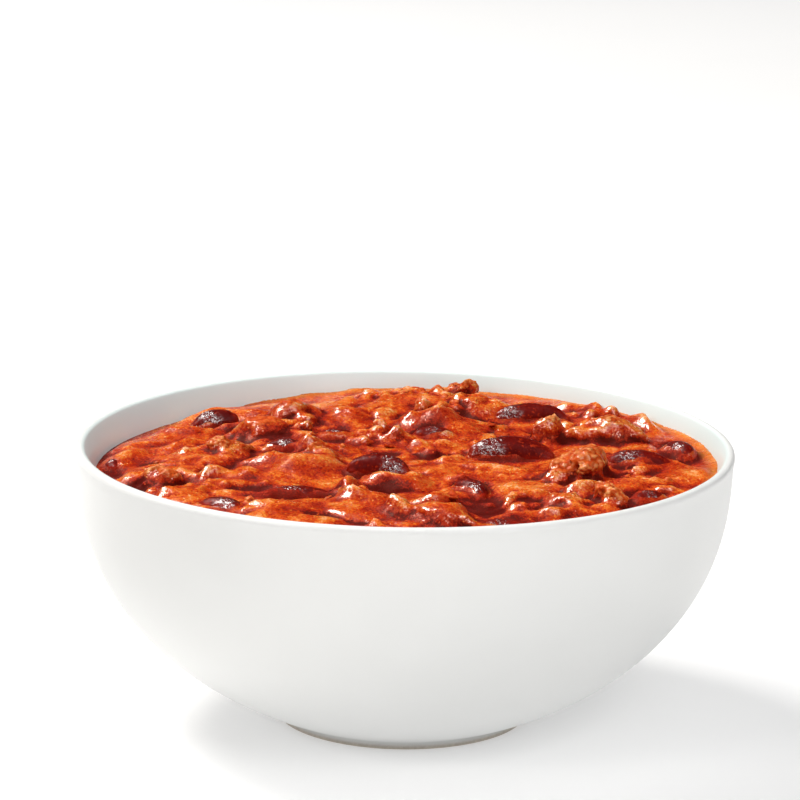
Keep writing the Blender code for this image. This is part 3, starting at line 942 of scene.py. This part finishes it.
def clump_form(x, y, z, rng, balls):
    """Balls pressed together, about 1 from middle to side."""
    value = 9.0
    for _ in range(balls):
        spot = rng.normal(size=3)
        spot *= 0.66 * rng.random() ** 0.3 / np.linalg.norm(spot)
        size = rng.uniform(0.26, 0.52)
        away = np.sqrt((x - spot[0]) ** 2 + (y - spot[1]) ** 2 + (z - spot[2]) ** 2) - size
        value = melt(value, away, 0.16)
    return value


def rough_form(x, y, z, seed, clump, roughness):
    """A distance to a lump of food, in units of its half size."""
    rng = np.random.default_rng(seed)
    wx = x + 0.10 * noise(x, y, z, 0.8, seed + 1)
    wy = y + 0.10 * noise(x, y, z, 0.8, seed + 2)
    cut = cut_form(wx, wy, z, rng, 11)
    balls = clump_form(wx, wy, z, rng, 18)
    value = clump * balls + (1.0 - clump) * cut
    return value + roughness * rough_noise(x, y, z, 0.42, seed + 3, 3)


def grid_points(grid, centre, turn):
    """Every point of a grid as a row, along the axes of turn, and the grid's shape."""
    spread = np.broadcast_arrays(*grid)
    return (np.stack([g.ravel() for g in spread], axis=1) - centre) @ turn, spread[0].shape


class Form:
    """A ready-made lump that can be placed at any size."""

    def __init__(self, seed, clump, roughness):
        self.field = Field((-1.5, -1.5, -1.5), (1.5, 1.5, 1.5), 0.09)
        self.field.value = rough_form(*np.ix_(*self.field.axes), seed, clump, roughness)

    def distance(self, grid, centre, turn, half):
        points, shape = grid_points(grid, centre, turn)
        return self.field.sample(points / half).reshape(shape) * half.min()


class Chunk:
    """A piece of meat or tomato as large as its CAD solid."""

    def __init__(self, name, seed, clump, roughness):
        self.name = name
        self.centre, self.turn, self.half = solid_place(name)
        field = Field(-1.35 * self.half, 1.35 * self.half, CHUNK_STEP)
        x, y, z = (g / h for g, h in zip(np.ix_(*field.axes), self.half))
        field.value = rough_form(x, y, z, seed, clump, roughness) * self.half.min()
        verts, faces = surface_net(field)
        verts = relax(verts, faces, 1, 0.3)
        low, high = verts.min(axis=0), verts.max(axis=0)
        self.fit = 2.0 * self.half / (high - low)
        self.middle = 0.5 * (low + high)
        self.field = field
        self.verts = ((verts - self.middle) * self.fit) @ self.turn.T + self.centre
        self.faces = faces

    def distance(self, grid):
        points, shape = grid_points(grid, self.centre, self.turn)
        points = points / self.fit + self.middle
        outside = np.maximum(np.abs(points) - 1.33 * self.half, 0.0)
        return (self.field.sample(points) + np.linalg.norm(outside, axis=1)).reshape(shape)


HIDES = 1.8                 # lumps larger than this would hide what lies behind them


def crowds(x, y, size, solids):
    """Whether a lump at x, y would hide or run into a bean or a chunk."""
    for solid in solids:
        local = (np.array([x, y, 0.0]) - solid.centre) @ solid.turn
        near = np.abs(local[:2]) / (solid.half[:2] + 0.8 * size)
        in_front = abs(x - solid.centre[0]) < solid.half[0] + size and -9.0 < y - solid.centre[1] < 0.0
        if np.hypot(*near) < 1.0 or (in_front and size > HIDES):
            return True
    return False


def lump_at(rng, x, y, height, half, turn, lean):
    """A lump's centre, turn, half sizes and form, at a height over the level."""
    centre = np.array([x, y, float(stew_level(x, y)) + height])
    axes = turned(rng.uniform(*turn)) @ tipped(rng.uniform(-lean, lean))
    return centre, axes, half, rng.integers(0, LUMP_FORMS)


def coated_lumps(rng, solids):
    """The beads among the hidden pieces, and a few lumps at random places."""
    lumps = []
    for x, y, half_length, half_width, top, turn in HIDDEN_PIECES:
        if half_length < BEAD_SIZE:
            half = np.array([half_length, half_width, 0.5 * (half_width + top)])
            turns = turn - 10.0, turn + 10.0
            lumps.append(lump_at(rng, x, y, top - 0.95 * half[2], half, turns, 12.0))
    for _ in range(EXTRA_LUMPS):
        x, y = random_spot(rng, EXTRA_REACH)
        half = rng.uniform(1.4, 3.0) * rng.uniform(0.7, 1.2, 3)
        if math.hypot(x, y) + half.max() < FOOD_REACH and not crowds(x, y, half.max(), solids):
            height = half.min() * rng.uniform(0.35, 0.9) - 0.85 * half[2]
            lumps.append(lump_at(rng, x, y, height, half, (0.0, 360.0), 35.0))
    return lumps


# ---- Mince crumbs ----

def unit_ball(divisions):
    ball = bmesh.new()
    bmesh.ops.create_icosphere(ball, subdivisions=divisions, radius=1.0)
    verts = np.array([v.co[:] for v in ball.verts])
    faces = np.array([[v.index for v in f.verts] for f in ball.faces])
    ball.free()
    return verts, faces


def random_turn(rng):
    return np.array(Quaternion(rng.normal(size=4)).normalized().to_matrix())


def scatter_crumbs(rng, bits):
    """The centre, turn and half sizes of each crumb."""
    spots = []
    for cx, cy, spread, count, size in CRUMB_GROUPS:
        for _ in range(count):
            x, y = rng.normal(0.0, 0.55 * spread, 2)
            spots.append((cx + x, cy + y, size * rng.uniform(0.65, 1.25)))
    for _ in range(LOOSE_CRUMBS):
        spots.append((*random_spot(rng, CRUMB_REACH), rng.uniform(0.9, 2.2)))
    spots = [spot for spot in spots if math.hypot(*spot[:2]) < CRUMB_REACH + 0.5 - spot[2]]
    x, y, size = np.array(spots).T
    z = stew_surface(x, y, bits) + size * (rng.uniform(0.08, 0.45, len(size)) - 0.5)
    half = 0.5 * size[:, None] * rng.uniform(0.75, 1.2, (len(size), 3))
    return [(place, random_turn(rng), own) for place, own in zip(np.stack([x, y, z], axis=1), half)]


def flake(rng):
    """A thin curled skin about the origin, one across, with round edges."""
    turns = turns_round(FLAKE_SIDES)
    edge = 1.0 + 0.22 * np.sin(2.0 * turns + rng.uniform(0, 6))
    edge += 0.12 * np.sin(5.0 * turns + rng.uniform(0, 6))
    curl, twist = rng.uniform(0.3, 0.9), rng.uniform(-0.4, 0.4)
    rings = []
    for size, lift in FLAKE_RINGS:
        x, y = 0.5 * size * edge * np.cos(turns), 0.35 * size * edge * np.sin(turns)
        rings.append(ring(x, y, curl * (x * x + 0.6 * y * y) + twist * x * y + lift))
    return ringed((0.0, 0.0, FLAKE_RINGS[0][1]), rings, (0.0, 0.0, FLAKE_RINGS[-1][1]))


def build_skins(rng, bits, solids, material, around):
    parts = []
    reach, way = SKIN_REACH * np.sqrt(rng.random(SKINS)), math.tau * rng.random(SKINS)
    spots = np.stack([reach * np.cos(way), reach * np.sin(way)], axis=1)
    heights = stew_surface(*spots.T, bits) + rng.uniform(0.0, 0.4, SKINS)
    for (x, y), z in zip(spots, heights):
        size = rng.uniform(2.4, 5.0)
        if crowds(x, y, size, solids):
            continue
        own, sides = flake(rng)
        turn = turned(rng.uniform(0.0, 360.0)) @ tipped(rng.uniform(-12.0, 12.0))
        parts.append(((own * size) @ turn.T + (x, y, z), sides))
    verts, faces = joined(parts)
    add_piece("skins", verts, faces, material, around.marks(verts))


def build_mince(crumbs, material, around):
    parts = []
    for number, (centre, turn, half) in enumerate(crumbs):
        ball, sides = BALLS[1 if half.max() > 1.2 else 0]
        x, y, z = (ball * 2.0).T
        swell = 1.0 + 0.28 * rough_noise(x + 9.0 * number, y, z, 1.5, 80, 3)
        parts.append(((ball * swell[:, None] * half) @ turn.T + centre, sides))
    verts, faces = joined(parts)
    add_piece("mince", verts, faces, material, around.marks(verts))


# ---- Sauce ----

def cover(field, centre, reach, distance, film, blend):
    """The sauce climbs a solid and coats it with a film of that thickness."""
    window, grid = field.window(centre, reach)
    if min(s.stop - s.start for s in window) < 2:
        return
    thickness = film(*grid)
    field.value[window] = melt(field.value[window], distance(grid) - thickness, blend)


def close_below(verts, faces, low):
    """Replaces the flat cut at the grid's foot by the bowl's inside."""
    mesh = bmesh.new()
    made = [mesh.verts.new(v) for v in verts]
    flat = verts[:, 2] < low
    for face in faces:
        if not flat[face].all():
            mesh.faces.new([made[n] for n in face])
    loose = [v for v in mesh.verts if not v.link_faces]
    bmesh.ops.delete(mesh, geom=loose, context="VERTS")
    edges = [e for e in mesh.edges if e.is_boundary]
    share = np.cos(np.linspace(0.0, 0.5 * math.pi, 14)) ** 1.5
    for z in FLOOR_HEIGHT + 0.4 + (low - 1.0 - FLOOR_HEIGHT) * share:
        made = bmesh.ops.extrude_edge_only(mesh, edges=edges)["geom"]
        edges = [e for e in made if isinstance(e, bmesh.types.BMEdge)]
        for v in (v for v in made if isinstance(v, bmesh.types.BMVert)):
            radius = curve_radius(INNER_CURVE, z) - 0.35
            v.co.xy = v.co.xy.normalized() * max(radius, 3.0)
            v.co.z = z
    cap = bmesh.ops.edgeloop_fill(mesh, edges=edges)["faces"]
    bmesh.ops.poke(mesh, faces=cap)
    bmesh.ops.recalc_face_normals(mesh, faces=mesh.faces)
    verts = np.array([v.co[:] for v in mesh.verts])
    faces = [[v.index for v in f.verts] for f in mesh.faces]
    mesh.free()
    return verts, faces


def blurred(value, cells):
    """The mean over a box, three times over, which is close to a round blur."""
    for _ in range(3):
        for axis in range(3):
            padded = np.moveaxis(value, axis, 0)
            padded = np.concatenate([padded[:1]] * (cells + 1) + [padded] + [padded[-1:]] * cells)
            total = np.cumsum(padded, axis=0)
            mean = (total[2 * cells + 1:] - total[:-2 * cells - 1]) / (2 * cells + 1)
            value = np.moveaxis(mean, 0, axis)
    return value


class Surroundings:
    """How full of food the space about a point is, at two sizes."""

    def __init__(self, field):
        full = clamp(0.5 - field.value / field.step)
        self.levels = []
        for reach in (0.8, 1.7):
            level = copy.copy(field)
            level.value = blurred(full, max(1, round(reach / field.step)))
            self.levels.append(level)

    def marks(self, verts):
        """How hollow, how raised and how steep the food is about each vertex."""
        near, far = (level.sample(verts) - 0.5 for level in self.levels)
        hollow = 0.5 * (clamp(near / 0.20) + clamp(far / 0.22))
        crest = 0.5 * (clamp(near / -0.22) + clamp(far / -0.26))
        level = self.levels[0]
        rise = [level.sample(verts - way) - level.sample(verts + way) for way in level.step * np.eye(3)]
        steep = 1.0 - rise[2] / np.maximum(np.linalg.norm(rise, axis=0), 1e-6)
        return {"hollow": hollow, "crest": crest, "steep": clamp(steep)}


# The sauce's grid lies between these heights. Below it the mesh goes on down
# along the bowl.
SAUCE_LOW = 53.0
SAUCE_HIGH = 69.5
GRID_MARGIN = 1.6           # how much wider than the stew the grid is
WALL_BITE = 0.6             # how deep in the bowl's wall the sauce ends
BEAN_REACH = (14, 14, 9)    # how far about a bean the sauce can be its film
BALLS = [unit_ball(2), unit_ball(3)]

FOOD_SEED = 7
# How clumpy a piece is, from 0 to 1, and how rough.
MEAT_FORM = (0.7, 0.16)
TOMATO_FORM = (0.12, 0.10)
CUT_FORM = (0.2, 0.13)
CLUMP_FORM = (0.85, 0.13)
CUT_FORMS = 5               # how many of the shared shapes look cut

# How thick the sauce lies, in millimetres. Bare crumbs stand out of it.
LUMP_FILM = 0.1
CRUMB_FILM = 0.2
BARE_FILM = -0.05
USUAL_BEAN_FILM = 0.1
USUAL_CHUNK_FILM = 0.35
# The same on some of the beans, at the stew's level.
BEAN_FILM = {
    "bean_03": 0.5, "bean_07": 0.6, "bean_08": 0.75, "bean_09": 0.5, "bean_11": 0.6,
    "bean_12": 0.6, "bean_13": 0.6, "bean_14": 0.5, "bean_15": 0.4,
}
# The same on some of the chunks.
CHUNK_FILM = {
    "meat_04": 0.5, "meat_05": 0.7, "meat_06": 0.7,
    "tomato_01": 0.6, "tomato_02": 0.6, "tomato_03": 0.5,
}
# Where along its length a bean is wet, from -1 at its left end to 1.
BEAN_SHINE = {
    "bean_01": -0.55, "bean_02": 0.45, "bean_03": -0.1, "bean_04": -0.2,
    "bean_05": 0.1, "bean_06": -0.7, "bean_08": -0.3, "bean_09": 0.3,
}


def film_over(amount, fall, uneven, seed):
    """A film of sauce that thins with height over the stew's level."""
    def film(x, y, z):
        over = z - stew_level(x, y)
        return amount - fall * over + uneven * rough_noise(x, y, z, 3.6, seed, 2)
    return film


def stew_field(bits):
    """The sauce without its crumbs, beans and chunks, on a grid."""
    reach = STEW_RADIUS + GRID_MARGIN
    field = Field((-reach, -reach, SAUCE_LOW - 0.8), (reach, reach, SAUCE_HIGH), SAUCE_STEP)
    height = stew_surface(*np.ix_(*field.axes[:2]), bits)[..., None]
    slope = np.gradient(height[..., 0], SAUCE_STEP)
    steep = np.sqrt(1.0 + slope[0] ** 2 + slope[1] ** 2)[..., None]
    field.value = (field.axes[2] - height) / np.minimum(steep, 2.5)
    return field


def cover_lumps(field, lumps):
    kinds = [CUT_FORM if n < CUT_FORMS else CLUMP_FORM for n in range(LUMP_FORMS)]
    forms = [Form(400 + n, *kind) for n, kind in enumerate(kinds)]
    for centre, turn, half, number in lumps:
        reach = 1.3 * half.max() + 1.0
        distance = lambda grid: forms[number].distance(grid, centre, turn, half)
        cover(field, centre, (reach, reach, reach), distance, lambda *grid: LUMP_FILM, 1.6)


def cover_crumbs(field, crumbs, bare):
    for (centre, turn, half), plain in zip(crumbs, bare):
        distance = lambda grid: to_ellipsoid(in_axes(grid, centre, turn), half)
        film = BARE_FILM if plain else CRUMB_FILM
        cover(field, centre, (3.5, 3.5, 3.5), distance, lambda *grid: film, 0.8)


def cover_solids(field, beans, chunks):
    for bean in beans:
        thickness = BEAN_FILM.get(bean.name, USUAL_BEAN_FILM)
        film = film_over(thickness, 0.45, 0.5, 90 + bean.number)
        cover(field, bean.centre, BEAN_REACH, bean.distance, film, 0.6)
    for n, chunk in enumerate(chunks):
        reach = np.hypot(*chunk.half[:2]) + 2.5
        thickness = CHUNK_FILM.get(chunk.name, USUAL_CHUNK_FILM)
        film = film_over(thickness, 0.13, 0.08, 140 + n)
        cover(field, chunk.centre, (reach, reach, chunk.half[2] + 2.0), chunk.distance, film, 2.0)


def sauce_marks(verts, around, beans):
    """Where the sauce is hollow, raised, steep, in a hollow painted with shade, by the wall (a band
    painted paler where light falls) or thin.
    """
    marks = around.marks(verts)
    wander = [1.8 * noise(*verts.T, 5.0, seed) for seed in (35, 36)]
    # How deep in the hollows that are painted darker as shade.
    marks["pool"] = shaded_hollow_depth(verts[:, 0] + wander[0], verts[:, 1] + wander[1])
    radius = np.hypot(verts[:, 0], verts[:, 1])
    # The paler band of thin sauce along the wall, painted only away from the left side, which lies in
    # shade: partly painted light.
    marks["wall"] = smoothstep(STEW_RADIUS - 3.0, STEW_RADIUS, radius)
    marks["wall"] *= smoothstep(-48.0, -25.0, verts[:, 0])
    thin = np.full(len(verts), 9.0)
    for bean in beans:
        close = np.linalg.norm(verts - bean.centre, axis=1) < BEAN_REACH[0]
        thin[close] = np.minimum(thin[close], bean.distance(verts[close].T))
    marks["thin"] = smoothstep(0.75, 0.1, thin)
    return marks


def build_sauce(field, around, beans, material):
    x, y, z = np.ix_(*field.axes)
    wall = np.hypot(x, y) - wall_radius(z) - WALL_BITE
    field.value = np.maximum(np.maximum(field.value, wall), SAUCE_LOW - z)
    verts, faces = surface_net(field)
    verts, faces = close_below(relax(verts, faces, 1, 0.35), faces, SAUCE_LOW + 0.3)
    marks = sauce_marks(verts, around, beans)
    sauce = add_piece("chili_sauce", verts, faces, material, marks)
    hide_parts("chili")


def build_bean(bean, around, material):
    verts, faces = bean.surface(*BEAN_GRID)
    marks = around.marks(verts)
    marks["low"] = smoothstep(3.0, 0.0, verts[:, 2] - stew_level(verts[:, 0], verts[:, 1]))
    along = ((verts - bean.centre) @ bean.turn)[:, 0] / bean.half[0]
    marks["edge"] = smoothstep(0.6, 1.0, np.abs(along))
    rightward = along * np.sign(bean.turn[0, 0])
    marks["shine"] = smoothstep(0.5, 0.1, np.abs(rightward - BEAN_SHINE.get(bean.name, 0.0)))
    piece = add_piece("kidney_" + bean.name, verts, faces, material, marks)
    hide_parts(bean.name)


def build_chunk(chunk, around, material):
    marks = around.marks(chunk.verts)
    piece = add_piece("chunk_" + chunk.name, chunk.verts, chunk.faces, material, marks)
    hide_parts(chunk.name)


def build_food(materials):
    rng = np.random.default_rng(FOOD_SEED)
    bits = small_lumps(rng)
    beans = [Bean(name, n) for n, name in enumerate(solids_named("bean"))]
    chunks = [Chunk(name, 300 + n, *MEAT_FORM) for n, name in enumerate(solids_named("meat"))]
    chunks += [Chunk(name, 330 + n, *TOMATO_FORM) for n, name in enumerate(solids_named("tomato"))]
    crumbs = scatter_crumbs(rng, bits)

    field = stew_field(bits)
    cover_lumps(field, coated_lumps(rng, beans + chunks))
    bare = rng.random(len(crumbs)) < BARE_CRUMBS
    cover_crumbs(field, crumbs, bare)
    cover_solids(field, beans, chunks)
    around = Surroundings(field)

    build_sauce(field, around, beans, materials["sauce"])
    for bean in beans:
        build_bean(bean, around, materials["bean"])
    for chunk in chunks:
        kind = chunk.name.split("_")[0]
        build_chunk(chunk, around, materials[kind])
    build_mince(list(itertools.compress(crumbs, bare)), materials["mince"], around)
    build_skins(rng, bits, beans + chunks, materials["skin"], around)


# ---- Stage ----

SKY_GLOW = ((0.0, 0.03), (0.45, 0.02), (1.0, 0.05))      # height of the way up, and how bright
FLOOR_WIDTH = 8.0                                        # metres
AIM = Vector((0.0, 0.0, 0.05))                           # what the lamps point at, in metres
LAMP_DISTANCE = 1.6
WARM_LIGHT = (1.0, 0.975, 0.94)
WHITE_LIGHT = (1.0, 1.0, 1.0)
# Name, degrees round from the front to the right, degrees up, width and
# height in metres, watts and colour.
LAMPS = (
    ("key", 232.0, 53.0, 0.7, 0.6, 31.0, WARM_LIGHT),
    ("front_high", 35.0, 62.0, 1.3, 1.3, 9.0, WHITE_LIGHT),
    ("right_fill", 28.0, 36.0, 0.7, 0.7, 9.5, WHITE_LIGHT),
    ("left_front", 310.0, 30.0, 0.5, 0.4, 5.5, WARM_LIGHT),
)
# The camera stands eleven rim radii off, raised by ELEVATION over the rim, and
# looks down by DROOP.
CAMERA_DISTANCE = 11.0 * 75.0 * MM
RIM = 64.1 * MM
ELEVATION, DROOP, PAN, ROLL = (math.radians(a) for a in (13.951, 13.289, 0.0946, 0.772))
LENS = 162.7
SENSOR_WIDTH = 36.0


def build_floor(material):
    bpy.ops.mesh.primitive_grid_add(x_subdivisions=8, y_subdivisions=8, size=FLOOR_WIDTH)
    floor = bpy.context.object
    floor.name = "floor"
    floor.data.materials.append(material)


def build_world():
    world = bpy.data.worlds.new("studio")
    world.use_nodes = True
    tree = world.node_tree
    way = tree.nodes.new("ShaderNodeTexCoord")
    parts = tree.nodes.new("ShaderNodeSeparateXYZ")
    sky = tree.nodes.new("ShaderNodeValToRGB")
    set_stops(sky.color_ramp, [(place, (glow, glow, glow)) for place, glow in SKY_GLOW])
    tree.links.new(way.outputs["Generated"], parts.inputs["Vector"])
    tree.links.new(parts.outputs["Z"], sky.inputs["Fac"])
    tree.links.new(sky.outputs["Color"], tree.nodes["Background"].inputs["Color"])
    bpy.context.scene.world = world


def build_lamp(name, around, up, width, height, power, colour):
    around, up = math.radians(around), math.radians(up)
    flat = math.cos(up)
    way = Vector((flat * math.sin(around), -flat * math.cos(around), math.sin(up)))
    light = bpy.data.lights.new(name, "AREA")
    light.shape = "RECTANGLE"
    light.size, light.size_y = width, height
    light.energy = power
    light.color = colour
    lamp = new_object(name, light)
    lamp.location = AIM + LAMP_DISTANCE * way
    lamp.rotation_euler = way.to_track_quat("Z", "Y").to_euler()


def build_camera():
    camera = bpy.data.cameras.new("camera")
    camera.lens = LENS
    camera.sensor_width = SENSOR_WIDTH
    camera.clip_end = 50.0
    eye = new_object("camera", camera)
    back, up = CAMERA_DISTANCE * math.cos(ELEVATION), CAMERA_DISTANCE * math.sin(ELEVATION)
    eye.matrix_world = (
        Matrix.Translation((0.0, -back, RIM + up))
        @ Matrix.Rotation(PAN, 4, "Z")
        @ Matrix.Rotation(0.5 * math.pi - DROOP, 4, "X")
        @ Matrix.Rotation(ROLL, 4, "Z")
    )
    bpy.context.scene.camera = eye
    bpy.context.scene.view_settings.view_transform = "Standard"


build_floor(floor_material())
build_world()
for lamp in LAMPS:
    build_lamp(*lamp)
build_camera()
build_bowl(porcelain_material())
materials = {"sauce": sauce_material(), "bean": bean_material()}
for name, entry in CHOPPED.items():
    materials[name] = chopped_material(name, *entry)
build_food(materials)
